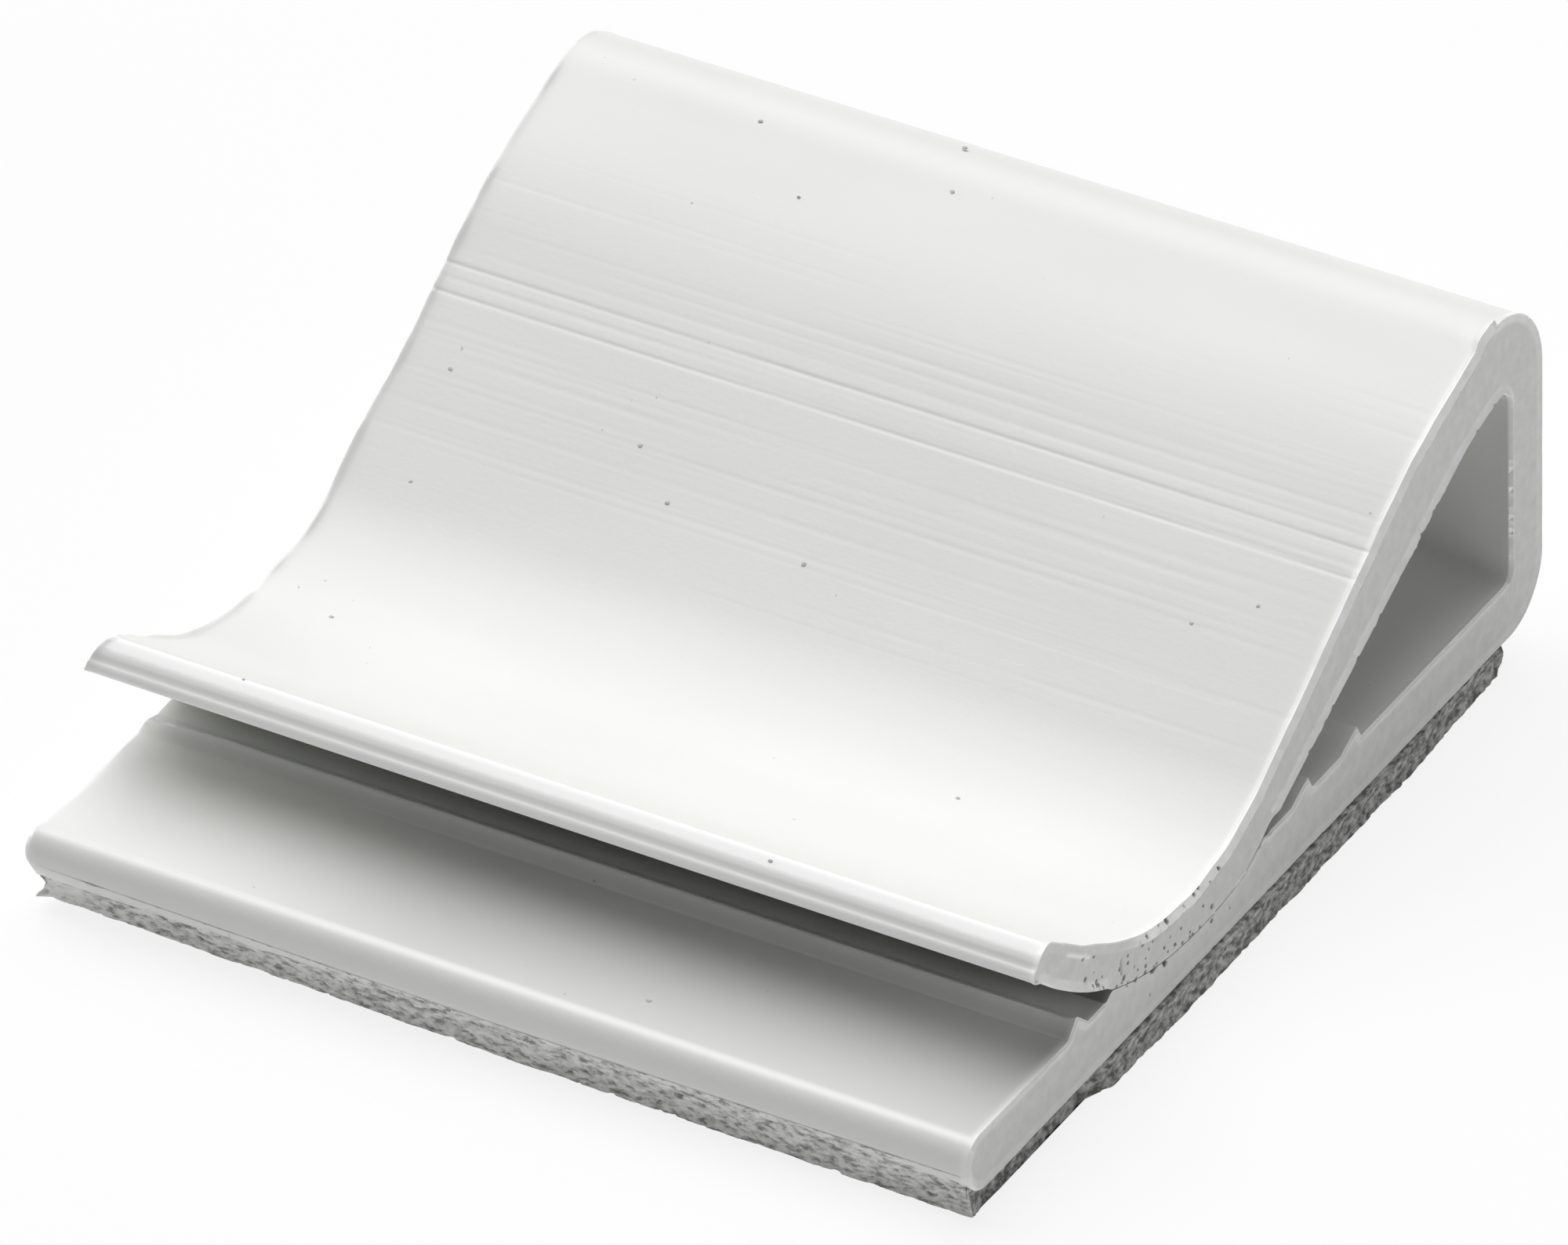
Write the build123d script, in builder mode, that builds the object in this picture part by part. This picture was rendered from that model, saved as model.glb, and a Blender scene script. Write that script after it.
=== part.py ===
from build123d import *
from math import asin, atan2, cos, degrees, hypot, radians, sin, sqrt
import os

# Self-adhesive cable clip, cut to length from a rigid PVC extrusion.
# Millimetres, +Z up. X runs along the extrusion and the mouth of the clip faces -Y.
# The origin lies under the middle of the foam tape, on the surface it is stuck to.

# Length of one cut piece.
clip_length = 25.4

# Base, back wall and their edges.
base_depth = 27.4
base_thick = 1.6
back_wall = 1.6
heel_radius = 1.7
front_edge_radius = 0.65
front_toe_radius = 0.9

# Crown, where the back wall turns over into the springy flap.
clip_height = 9.35
crown_radius = 2.25
crown_slope = 20.0
crown_wall = 2.0
hollow_top_radius = 0.55
hollow_floor_radius = 0.4

# Flap, outer face: past a gentle knee it falls into the dip that presses on the base.
knee_forward = 6.2
knee_radius = 12.0
dip_forward = 17.2
dip_radius = 6.8
dip_thick = 1.1
lip_slope = 30.0

# Flap, under face: straight down from the hollow's roof to a belly that nests in a groove of the base.
roof_run = 2.7
roof_drop = 0.77
belly_forward = 16.5
belly_radius = 10.3
belly_back_slope = 11.3
belly_gap = 0.1
groove_depth = 0.7

# Finger lip at the end of the flap.
lip_rise = 40.0
lip_length = 1.29
lip_thick = 0.95
lip_edge_radius = 0.2

# Saw-tooth barbs on the floor of the hollow, steep on their back side.
barb_count = 2
barb_first = 8.85
barb_pitch = 2.35
barb_height = 0.4
barb_lean = 0.2
barb_width = 1.0

# Low stop rib, a share of the way from the groove to the front edge.
rib_share = 0.217
rib_height = 0.32
rib_lean = 0.5
rib_width = 0.9
rib_crest_radius = 0.1
rib_foot_radius = 0.25

# Foam tape under the base.
tape_thick = 0.8
tape_back_margin = 2.1
tape_front_margin = 0.35


def at(forward, height):
    """Section point from its way forward of the back face and height over the base's underside."""
    return (base_depth / 2 - forward, tape_thick + height)


def over_top(centre, radius, turn):
    """Point high on a circle, turned in degrees from its back side over the top."""
    angle = radians(turn)
    return (centre[0] - radius * cos(angle), centre[1] + radius * sin(angle))


def under_side(centre, radius, slope):
    """Point low on a circle, where it climbs forward at this slope in degrees."""
    angle = radians(slope)
    return (centre[0] + radius * sin(angle), centre[1] - radius * cos(angle))


def beyond(point, distance, slope):
    """Point this far on from another, along a slope in degrees that climbs forward."""
    angle = radians(slope)
    return (point[0] + distance * cos(angle), point[1] + distance * sin(angle))


def falling_tangent(point, centre, radius):
    """Slope in degrees at which a line falls from a point to touch a circle's underside."""
    ahead = centre[0] - point[0]
    above = centre[1] - point[1]
    return degrees(asin(radius / hypot(ahead, above)) - atan2(above, ahead))


def arc(*points):
    """Arc through three section points."""
    ThreePointArc(*[at(*point) for point in points])


def lines(*points):
    """Straight runs through section points."""
    Polyline(*[at(*point) for point in points])


def tooth(foot, width, height, lean):
    """Corners of a small ridge on the base, steep at the back and rooted in the base."""
    return (
        (foot, base_thick - height),
        (foot, base_thick),
        (foot + lean, base_thick + height),
        (foot + width, base_thick),
        (foot + width, base_thick - height),
        (foot, base_thick - height),
    )


# Crown, from the upright back face to the first slope of the flap.
crown_centre = (crown_radius, clip_height - crown_radius)
crown_start = over_top(crown_centre, crown_radius, 0)
crown_middle = over_top(crown_centre, crown_radius, 45 + crown_slope / 2)
crown_end = over_top(crown_centre, crown_radius, 90 + crown_slope)
knee = beyond(crown_end, (knee_forward - crown_end[0]) / cos(radians(crown_slope)), -crown_slope)

# Belly circle of the flap's under face, and the groove around it in the base.
groove_radius = belly_radius + belly_gap
belly_centre = (belly_forward, base_thick - groove_depth + groove_radius)
belly_back = under_side(belly_centre, belly_radius, -belly_back_slope)
belly_bottom = under_side(belly_centre, belly_radius, 0)
belly_front = under_side(belly_centre, belly_radius, lip_rise)
groove_half = sqrt(groove_radius**2 - (groove_radius - groove_depth) ** 2)
groove_turn = under_side(belly_centre, groove_radius, -belly_back_slope)
groove_bottom = under_side(belly_centre, groove_radius, 0)
groove_front = (belly_forward + groove_half, base_thick)

# Hollow, and the straight run from its roof to the belly, which the groove's back side follows.
hollow_top = (back_wall, clip_height - crown_wall)
hollow_floor = (back_wall, base_thick)
roof_end = (hollow_top[0] + roof_run, hollow_top[1] - roof_drop)
run_slope = degrees(atan2(roof_end[1] - belly_back[1], belly_back[0] - roof_end[0]))
groove_climb = (base_thick - groove_turn[1]) / sin(radians(run_slope))
groove_back = beyond(groove_turn, groove_climb, 180 - run_slope)

# Dip circle of the flap's outer face.
dip_centre = (dip_forward, belly_bottom[1] + dip_thick + dip_radius)
dip_slope = falling_tangent(knee, dip_centre, dip_radius)
dip_back = under_side(dip_centre, dip_radius, -dip_slope)
dip_bottom = under_side(dip_centre, dip_radius, 0)
dip_front = under_side(dip_centre, dip_radius, lip_slope)

# Finger lip: its under face runs on straight from the belly, its end is cut square.
lip_tip = beyond(belly_front, lip_length, lip_rise)
lip_ridge = beyond(lip_tip, lip_thick, lip_rise + 90)

# Ridges on the base: the barbs in the hollow and the stop rib in front.
barb_feet = [barb_first + number * barb_pitch for number in range(barb_count)]
barbs = [tooth(foot, barb_width, barb_height, barb_lean) for foot in barb_feet]
rib_forward = groove_front[0] + rib_share * (base_depth - groove_front[0])
rib = tooth(rib_forward, rib_width, rib_height, rib_lean)
rib_crest, rib_foot = rib[2:4]

# Corners of the base.
front_top = (base_depth, base_thick)
front_toe = (base_depth, 0)
heel = (0, 0)

rounded_corners = [
    (heel, heel_radius),
    (front_toe, front_toe_radius),
    (front_top, front_edge_radius),
    (knee, knee_radius),
    (lip_ridge, lip_edge_radius),
    (lip_tip, lip_edge_radius),
    (hollow_top, hollow_top_radius),
    (hollow_floor, hollow_floor_radius),
    (rib_crest, rib_crest_radius),
    (rib_foot, rib_foot_radius),
]

# Clip body: the whole section is one outline, pushed out both ways from the middle.
with BuildPart() as clip_body:
    with BuildSketch(Plane.YZ) as section:
        with BuildLine():
            lines(groove_front, front_top, front_toe, heel, crown_start)
            arc(crown_start, crown_middle, crown_end)
            lines(crown_end, knee, dip_back)
            arc(dip_back, dip_bottom, dip_front)
            lip_start = Vector(-cos(radians(lip_slope)), sin(radians(lip_slope)))
            TangentArc(at(*dip_front), at(*lip_ridge), tangent=lip_start)
            lines(lip_ridge, lip_tip, belly_front)
            arc(belly_front, belly_bottom, belly_back)
            lines(belly_back, roof_end)
            roof_start = Vector(cos(radians(run_slope)), sin(radians(run_slope)))
            TangentArc(at(*roof_end), at(*hollow_top), tangent=roof_start)
            lines(hollow_top, hollow_floor, groove_back, groove_turn)
            arc(groove_turn, groove_bottom, groove_front)
        make_face()
        for ridge in [*barbs, rib]:
            with BuildLine():
                lines(*ridge)
            make_face()
        for corner, radius in rounded_corners:
            nearest = section.vertices().sort_by_distance(Vector(*at(*corner)))[0]
            fillet(nearest, radius)
    extrude(amount=clip_length / 2, both=True)
clip_body.part.label = "clip_body"

# Foam tape: a pad as long as the clip, set in from the rounded heel.
with BuildPart() as foam_tape:
    with BuildSketch(Plane.YZ):
        with BuildLine():
            tape_back = at(tape_back_margin, -tape_thick)
            tape_front = at(base_depth - tape_front_margin, 0)
            Polyline(
                tape_back,
                (tape_front[0], tape_back[1]),
                tape_front,
                (tape_back[0], tape_front[1]),
                close=True,
            )
        make_face()
    extrude(amount=clip_length / 2, both=True)
foam_tape.part.label = "foam_tape"

os.makedirs("parts", exist_ok=True)
export_step(clip_body.part, "parts/clip_body.step")
export_step(foam_tape.part, "parts/foam_tape.step")
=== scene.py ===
from collections import Counter
from math import cos, pi, radians, sin, tau

import bpy
import numpy as np
from mathutils import Matrix, Vector, noise
from mathutils.geometry import delaunay_2d_cdt


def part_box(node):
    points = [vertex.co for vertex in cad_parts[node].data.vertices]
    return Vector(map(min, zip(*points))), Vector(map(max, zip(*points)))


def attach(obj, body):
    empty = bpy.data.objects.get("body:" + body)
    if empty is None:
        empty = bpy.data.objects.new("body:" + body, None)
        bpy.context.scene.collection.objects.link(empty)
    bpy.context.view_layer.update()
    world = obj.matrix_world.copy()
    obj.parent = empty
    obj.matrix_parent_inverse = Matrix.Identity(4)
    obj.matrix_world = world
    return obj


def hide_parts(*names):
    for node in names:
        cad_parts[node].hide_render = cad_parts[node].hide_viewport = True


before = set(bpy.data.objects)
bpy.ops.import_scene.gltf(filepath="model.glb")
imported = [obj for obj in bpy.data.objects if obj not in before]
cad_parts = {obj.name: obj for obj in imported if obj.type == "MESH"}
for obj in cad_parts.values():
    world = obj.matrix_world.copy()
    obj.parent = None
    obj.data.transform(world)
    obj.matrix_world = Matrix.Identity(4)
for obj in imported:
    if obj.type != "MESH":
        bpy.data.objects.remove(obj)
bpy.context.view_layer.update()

# Lengths in this script are millimetres until an object is made. The clip is an extrusion along X,
# its mouth faces -Y and its tape lies on z = 0.
MM = 0.001
CLIP_LOW, CLIP_HIGH = (np.array(corner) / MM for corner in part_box("clip_body"))
TAPE_LOW, TAPE_HIGH = (np.array(corner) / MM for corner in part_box("foam_tape"))
HALF = CLIP_HIGH[0]
FRONT = CLIP_LOW[1]

# Camera of the photograph, fitted to the clip's edges.
CAMERA_TURN = radians(31.59)
CAMERA_RISE = radians(35.212)
CAMERA_ROLL = radians(-1.607)
CAMERA_TARGET = (-5.123, 7.975, -2.308)
CAMERA_DISTANCE = 449.684
CAMERA_LENS = 424.96

# Light: one broad key lamp above, a little behind and to the left, a low one at the right, a faint one at
# the left that reaches in under the lip, and a dim sky.
# Each lamp has its level, its spread and the way it shines.
SKY_LEVEL = 0.02
LAMPS = {"key": (0.965 * pi, radians(72), (0.348, -0.274, -0.896)),
         "left": (0.14 * pi, radians(40), (0.87, 0.05, -0.49)),
         "side": (0.20 * pi, radians(34), (-0.985, 0.0, -0.174))}
FLOOR_DROP = 0.02
FLOOR_REACH = 3000.0
FLOOR_GLOW = 0.85

# Extruded skin: how finely the section is cut, and the marks that the die left on the flap.
SECTION_STEP = 0.2
MARKED_STEP = 0.036
LIP_STEP, RIB_STEP, EDGE_STEP = 0.03, 0.05, 0.06
SLICE_STEP = 0.42
END_SLICES = (0.0, 0.03, 0.07, 0.12, 0.2, 0.32)
DIE_ZONE = (0.4, 9.4)
DEEP_MARKS = ((5.32, 0.040, 0.014), (4.69, 0.040, 0.014))
FAINT_MARKS = 70
# A burr stands up on the crown's right end: from where to where along Y, and its height.
CROWN_BURR = (10.5, 12.0, 0.20)

# The lip's face is rolled into a bead, a groove and a sharp lower edge: place above its lower corner, and
# how far it stands out there.
LIP_EDGE = 0.2
LIP_FACE = ((0, 0.235), (0.08, 0.215), (0.16, 0.18), (0.23, 0.145), (0.31, 0.142), (0.40, 0.155),
            (0.50, 0.15), (0.60, 0.125), (0.70, 0.085), (0.80, 0.04), (0.88, 0.015), (0.95, 0))
LIP_GROOVE = (0.30, 0.09)

# The flap's belly rests in the base's groove: where along Y, how far it comes down to close the gap, and
# the ridge that the base turns up against it in front.
NIP_SPAN = (-7.3, 0.45)
NIP_CLOSING = 0.075
NIP_GAP = 0.025
NIP_RIDGE = (-7.25, -6.95, -6.5, 0.14)

# Painted shade: how dark the base's floor under the lip and the nip under the flap's belly are painted, and
# how dark the rib's left tip is made; and how the first two grow from the left (the least share, where it
# starts to grow, and over what length).
FLOOR_PAINTED_SHADE, NIP_PAINTED_SHADE, TIP_DARKENING = 0.27, 0.7, 0.6
PAINTED_SHADE_GROWTH = (0.1, 3.0, 8.0)

# The raised rim on a sawn end, whitened partly as a smeared burr and partly as painted highlight: its width
# and height, and the painted shade line inside it on the flap's top (distance from the edge, half width and
# darkness).
RIM_WIDTH, RIM_HEIGHT = 0.29, 0.12
RIM_PAINTED_SHADE_LINE = (0.33, 0.035, 0.45)

# The left cut isn't square: how far it stands out past the square one at (y, z) on the flap and the base.
FLAP_RAKE = ((13.7, 4, 0), (13, 9, 0), (9, 9.2, 0), (9, 7, 0), (4, 7, 0.02), (0, 4.9, 0.2), (0, 2.6, 0.1),
             (-3, 3.4, 0.33), (-6, 2.4, 0.35), (-6.5, 4.2, 0.2), (-9.2, 4.1, 0.42), (-9.75, 5.65, -0.04),
             (-9.98, 5.48, 0.2), (-10.15, 5.25, 0.36), (-10.3, 4.95, 0.46))
BASE_RAKE = ((-13.65, 1.9, 0.16), (-13.4, 2.35, 0.12), (-13.4, 1.2, 0), (-12.6, 0.8, 0), (-11, 2.4, 0),
             (-11, 1.2, 0), (-8.8, 2.4, 0.02), (-7, 2.4, 0.06), (-3, 1.5, 0.05), (3, 1.5, 0), (10, 1.5, 0),
             (13.5, 3, 0))

# Marks on the right end at (y, z): torn pits with radius and depth, and threads of plastic from one
# place to another with width and height; a negative height is a scratch.
END_PITS = ((-2.33, 1.60, 0.05, 0.07), (-2.88, 1.78, 0.04, 0.06), (-3.22, 1.77, 0.05, 0.07),
            (-3.69, 1.83, 0.05, 0.07), (-3.92, 1.77, 0.04, 0.05), (-4.13, 1.79, 0.04, 0.05),
            (-4.50, 1.76, 0.08, 0.10), (-5.05, 1.95, 0.08, 0.10), (-5.85, 2.18, 0.06, 0.09),
            (-6.27, 2.31, 0.06, 0.08), (-6.76, 2.54, 0.05, 0.07), (-2.09, 2.98, 0.05, 0.06),
            (-2.52, 2.85, 0.05, 0.06), (-2.93, 2.93, 0.04, 0.06), (-3.16, 2.89, 0.05, 0.06),
            (-3.67, 2.89, 0.04, 0.03), (-3.96, 2.77, 0.04, 0.03), (-4.47, 2.96, 0.06, 0.09),
            (-3.75, 2.30, 0.04, 0.05), (-4.80, 3.06, 0.04, 0.03), (-5.41, 3.13, 0.05, 0.06),
            (-4.23, 2.36, 0.04, 0.03), (-5.25, 2.67, 0.04, 0.03), (-6.21, 3.09, 0.04, 0.05),
            (-5.91, 2.58, 0.04, 0.03), (-5.21, 1.31, 0.04, 0.03), (-1.45, 1.41, 0.04, 0.03),
            (-8.28, 4.32, 0.05, 0.06))
SCATTERED_PITS = 30
END_THREADS = ((0.37, 2.37, -0.04, 2.29, 0.05, 0.03), (-0.04, 2.29, -0.30, 2.07, 0.05, 0.03),
               (-0.30, 2.07, -1.20, 1.89, 0.05, 0.02), (-2.20, 1.94, -2.25, 1.61, 0.04, 0.04),
               (-8.98, 4.91, -8.02, 4.21, 0.06, 0.05), (-6.52, 3.11, -6.50, 2.75, 0.03, -0.03))

# The foam tape's front, left, middle and right: how far its bottom edge curls up off the floor, and
# the height that its top edge is pressed up to round the base's toe.
TAPE_CURL = (0.47, 0.24, 0.14)
TAPE_CLIMB = (1.56, 1.40, 1.52)
TOE_CENTRE = (-12.8, 1.7)
TOE_RADIUS = 0.9
TAPE_GAP = 0.006
# How far its right side stands out, at places along Y.
TAPE_BOW = ((-13.4, -0.06), (-12.6, -0.22), (-8.1, -0.22), (-7.2, 0.12), (-4, 0.16), (2, 0.13), (8, 0.13),
            (11.6, 0.0))
# How far it spreads behind its back edge, at its top.
TAPE_SPREAD = 0.14
# How far its front left corner trails out on the floor, and over what length along Y.
TAPE_TAIL = (0.28, 0.9)
# Its front is pale towards the left: where that starts, over what length, and how pale.
TAPE_PALE = (-10.3, 2.0, 0.75)
# Pale torn threads on its front: x and z of both ends, and half width.
TAPE_THREADS = ((-11.12, 1.16, -10.73, 1.18, 0.05), (-10.62, 1.27, -10.01, 1.25, 0.06),
                (-10.01, 1.25, -8.34, 1.16, 0.03), (-7.88, 1.14, -7.25, 1.13, 0.045),
                (-5.26, 1.20, -5.14, 1.20, 0.05), (6.1, 1.02, 6.5, 1.0, 0.03),
                (10.9, 0.9, 11.3, 0.86, 0.035))


def smooth(share):
    """0 to 1 with level ends, for a share that is clipped to 0 to 1."""
    share = np.clip(share, 0, 1)
    return share * share * (3 - 2 * share)


def wander(places, wavelength, seed):
    """Smooth seeded noise of about -1 to 1 along a line of places."""
    knots = np.random.default_rng(seed).uniform(-1, 1, int(np.ptp(places) / wavelength) + 3)
    at = (places - places.min()) / wavelength
    left = at.astype(int)
    return knots[left] + (knots[left + 1] - knots[left]) * smooth(at - left)


def grain(points, size, seed=0.0):
    """Perlin noise of about -1 to 1 at points in mm, with lumps of about that size."""
    return np.array([noise.noise(Vector((p[0], p[1], p[2])) / size + Vector((seed, 0, 0)))
                     for p in points])


def hump(distance, width):
    """A bell of height 1 and about that half width."""
    return np.exp(-(distance / width)**2)


def to_thread(points, thread):
    """Distance of 2-D points from the straight thread (a, b) to (c, d)."""
    start, run = np.array(thread[:2]), np.array(thread[2:4]) - thread[:2]
    share = np.clip((points - start) @ run / (run @ run), 0, 1)
    return np.hypot(*(points - start - share[:, None] * run).T)


def make_piece(name, points, faces, materials, face_material=None, values=None):
    """A smooth-shaded mesh object from points in mm, which rides on the one body."""
    mesh = bpy.data.meshes.new(name)
    mesh.from_pydata((np.asarray(points) * MM).tolist(), [], faces)
    for material in materials:
        mesh.materials.append(material)
    if face_material is not None:
        mesh.polygons.foreach_set("material_index", face_material)
    for attribute, numbers in (values or {}).items():
        mesh.attributes.new(attribute, "FLOAT", "POINT").data.foreach_set("value", numbers)
    mesh.validate()
    mesh.shade_smooth()
    mesh.set_sharp_from_angle(angle=radians(38))
    piece = bpy.data.objects.new(name, mesh)
    bpy.context.scene.collection.objects.link(piece)
    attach(piece, "root")
    return piece


def grid_faces(rings, count):
    """Quads between rings of count points each."""
    return [(s * count + i, s * count + (i + 1) % count, (s + 1) * count + (i + 1) % count,
             (s + 1) * count + i) for s in range(rings - 1) for i in range(count)]


# Camera

def make_camera():
    data = bpy.data.cameras.new("camera")
    data.sensor_width, data.lens = 36.0, CAMERA_LENS
    data.clip_start, data.clip_end = 0.01, 20.0
    camera = bpy.data.objects.new("camera", data)
    ahead = Vector((-sin(CAMERA_TURN) * cos(CAMERA_RISE),
                    cos(CAMERA_TURN) * cos(CAMERA_RISE), -sin(CAMERA_RISE)))
    level = Vector((cos(CAMERA_TURN), sin(CAMERA_TURN), 0))
    upright = level.cross(ahead)
    right = level * cos(CAMERA_ROLL) + upright * sin(CAMERA_ROLL)
    up = upright * cos(CAMERA_ROLL) - level * sin(CAMERA_ROLL)
    place = (Vector(CAMERA_TARGET) - ahead * CAMERA_DISTANCE) * MM
    camera.matrix_world = Matrix.Translation(place) @ Matrix((right, up, -ahead)).transposed().to_4x4()
    bpy.context.scene.collection.objects.link(camera)
    bpy.context.scene.camera = camera


# Materials

class Graph:
    """A material's node tree, with short calls to add and join nodes."""

    def __init__(self, name):
        self.material = bpy.data.materials.new(name)
        self.material.use_nodes = True
        self.tree = self.material.node_tree
        self.tree.nodes.clear()

    def add(self, kind, inputs=None, **settings):
        node = self.tree.nodes.new(kind)
        for key, value in settings.items():
            setattr(node, key, value)
        for key, value in (inputs or {}).items():
            if isinstance(value, bpy.types.NodeSocket):
                self.tree.links.new(value, node.inputs[key])
            else:
                node.inputs[key].default_value = value
        return node

    def place(self, scale):
        """Object coordinates, stretched: scale is lumps per mm along X, Y and Z."""
        coordinates = self.add("ShaderNodeTexCoord").outputs["Object"]
        return self.add("ShaderNodeMapping", {"Vector": coordinates,
                                              "Scale": [each / MM for each in scale]}).outputs[0]

    def noise(self, scale, detail=2.0, roughness=0.5):
        return self.add("ShaderNodeTexNoise", {"Vector": self.place(scale), "Scale": 1.0,
                                               "Detail": detail, "Roughness": roughness}).outputs[0]

    def ramp(self, factor, *stops):
        """Colour at each stop, (place, colour); a number stands for a grey."""
        node = self.add("ShaderNodeValToRGB", {0: factor})
        elements = node.color_ramp.elements
        while len(elements) < len(stops):
            elements.new(0.5)
        for element, (at, colour) in zip(elements, stops):
            element.position = at
            element.color = (colour,) * 3 + (1,) if isinstance(colour, float) else (*colour, 1)
        return node.outputs[0]

    def mix(self, factor, first, second, blend="MIX"):
        node = self.add("ShaderNodeMix", data_type="RGBA", blend_type=blend)
        for socket, value in zip((node.inputs[0], node.inputs[6], node.inputs[7]), (factor, first, second)):
            if isinstance(value, bpy.types.NodeSocket):
                self.tree.links.new(value, socket)
            else:
                socket.default_value = value if isinstance(value, float) else (*value, 1)
        return node.outputs[2]

    def attribute(self, name):
        return self.add("ShaderNodeAttribute", attribute_name=name).outputs["Fac"]

    def spread(self, value, low, high):
        """A value of 0 to 1 mapped to low to high."""
        return self.add("ShaderNodeMapRange", {0: value, 3: low, 4: high}).outputs[0]

    def bump(self, height, distance, normal=None):
        """distance is the height in mm of a bump from 0 to 1."""
        inputs = {"Height": height, "Distance": distance * MM, "Strength": 1.0}
        if normal is not None:
            inputs["Normal"] = normal
        return self.add("ShaderNodeBump", inputs).outputs[0]

    def output(self, shader):
        self.tree.links.new(shader.outputs[0], self.add("ShaderNodeOutputMaterial").inputs["Surface"])
        return self.material

    def finish(self, **inputs):
        return self.output(self.add("ShaderNodeBsdfPrincipled", {key.replace("_", " "): value
                                                                 for key, value in inputs.items()}))


def skin_material():
    """Extruded white PVC: satin, a little warm, with fine die lines along X and rare dark grains."""
    graph = Graph("white_pvc_skin")
    cloud = graph.noise((0.10, 0.22, 0.22), detail=3.0)
    colour = graph.ramp(cloud, (0.3, (0.845, 0.853, 0.826)), (0.7, (0.880, 0.888, 0.862)))
    speck = graph.ramp(graph.noise((4.2, 4.2, 4.2), detail=1.0), (0.165, 0.72), (0.19, 1.0))
    colour = graph.mix(1.0, colour, speck, "MULTIPLY")
    # Painted shade on the base's floor under the lip and in the nip, and a darkened tip on the rib.
    colour = graph.mix(graph.attribute("painted_shade_and_tip_dark"), colour, (0.12, 0.12, 0.11))
    # Whitening: painted highlights on the front edge, the lip's face and the rib's crest, and end edges
    # whitened partly as a smeared burr and partly as painted highlight.
    colour = graph.mix(graph.attribute("burr_and_painted_highlight"), colour, (0.96, 0.963, 0.955))
    lines = graph.noise((0.03, 9.0, 9.0), detail=4.0, roughness=0.7)
    pebble = graph.noise((7.0, 7.0, 7.0), detail=2.0)
    normal = graph.bump(lines, 0.0016)
    normal = graph.bump(pebble, 0.0030, normal)
    roughness = graph.spread(graph.noise((0.05, 3.0, 3.0), detail=2.0), 0.36, 0.52)
    roughness = graph.spread(graph.attribute("burr_and_painted_highlight"), roughness, 0.11)
    return graph.finish(Base_Color=colour, Roughness=roughness, Normal=normal, IOR=1.5)


def cut_material():
    """The sawn ends: duller and mottled, their grey darkened below the skin's as painted shade, with
    painted shade in the torn pits and a pale rim that is partly smeared burr and partly painted highlight.
    """
    graph = Graph("white_pvc_cut")
    mottle = graph.noise((2.6, 2.6, 2.6), detail=4.0, roughness=0.6)
    # The ends' grey is darker than the skin's white: painted shade.
    colour = graph.ramp(mottle, (0.3, (0.66, 0.657, 0.642)), (0.7, (0.75, 0.747, 0.732)))
    # The pale rim along the cut's edges and the threads: partly smeared burr and pulled plastic, partly
    # painted highlight.
    colour = graph.mix(graph.attribute("burr_and_painted_highlight"), colour, (0.97, 0.972, 0.968))
    # Painted shade in the torn pits and along the line inside the flap's rim.
    colour = graph.mix(graph.attribute("painted_shade_marks"), colour, (0.10, 0.10, 0.095))
    saw = graph.noise((0.4, 1.5, 11.0), detail=3.0, roughness=0.6)
    crumb = graph.noise((11.0, 11.0, 11.0), detail=3.0, roughness=0.6)
    normal = graph.bump(crumb, 0.006, graph.bump(saw, 0.004))
    roughness = graph.spread(mottle, 0.55, 0.75)
    return graph.finish(Base_Color=colour, Roughness=roughness, Normal=normal, IOR=1.5)


def foam_material():
    """Grey closed-cell foam, cut through: crumbly cells, paler and streaky where its front is torn; its
    other sides' grey is partly darkened as painted shade, and its dents and the places under its threads
    get painted shade.
    """
    graph = Graph("foam_cut")
    cells = graph.noise((5.0, 3.6, 6.0), detail=2.0, roughness=0.6)
    streaks = graph.noise((3.2, 5.0, 6.5), detail=3.0, roughness=0.62)
    # The sides' grey is partly toned down as painted shade.
    side = graph.ramp(cells, (0.36, (0.14, 0.14, 0.13)), (0.50, (0.38, 0.38, 0.366)),
                      (0.64, (0.62, 0.62, 0.605)))
    torn = graph.ramp(streaks, (0.36, (0.32, 0.32, 0.31)), (0.48, (0.74, 0.74, 0.72)),
                      (0.61, (0.95, 0.95, 0.93)))
    colour = graph.mix(graph.attribute("torn"), side, torn)
    colour = graph.mix(graph.attribute("pale"), colour, (0.93, 0.93, 0.92))
    # Painted shade in the dented cells and under the torn threads.
    colour = graph.mix(graph.attribute("painted_shade_marks"), colour, (0.11, 0.105, 0.10))
    normal = graph.bump(cells, 0.03)
    return graph.finish(Base_Color=colour, Roughness=graph.spread(cells, 0.75, 0.95), Normal=normal)


def speck_material():
    """Grit that was pressed into the plastic."""
    graph = Graph("grit")
    tone = graph.noise((6.0, 6.0, 6.0))
    colour = graph.ramp(tone, (0.3, 0.45), (0.7, 0.65))
    return graph.finish(Base_Color=colour, Roughness=graph.spread(tone, 0.5, 0.8))


# The extruded clip

def end_outline(node):
    """The (y, z) outline of a CAD prism's +X end in mm, anticlockwise seen from +X."""
    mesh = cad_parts[node].data
    points = np.array([vertex.co for vertex in mesh.vertices]) / MM
    keys = [tuple(point) for point in np.round(points[:, 1:], 4).tolist()]
    edges = Counter()
    for face in mesh.polygons:
        corners = list(face.vertices)
        if points[corners, 0].min() > points[:, 0].max() - 1e-3:
            edges.update((keys[a], keys[b]) for a, b in zip(corners, corners[1:] + corners[:1]))
    following = {a: b for a, b in edges if (b, a) not in edges}
    outline = [min(following, key=lambda point: point[0] + point[1])]
    while following[outline[-1]] != outline[0]:
        outline.append(following[outline[-1]])
    return np.array(outline)


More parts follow.
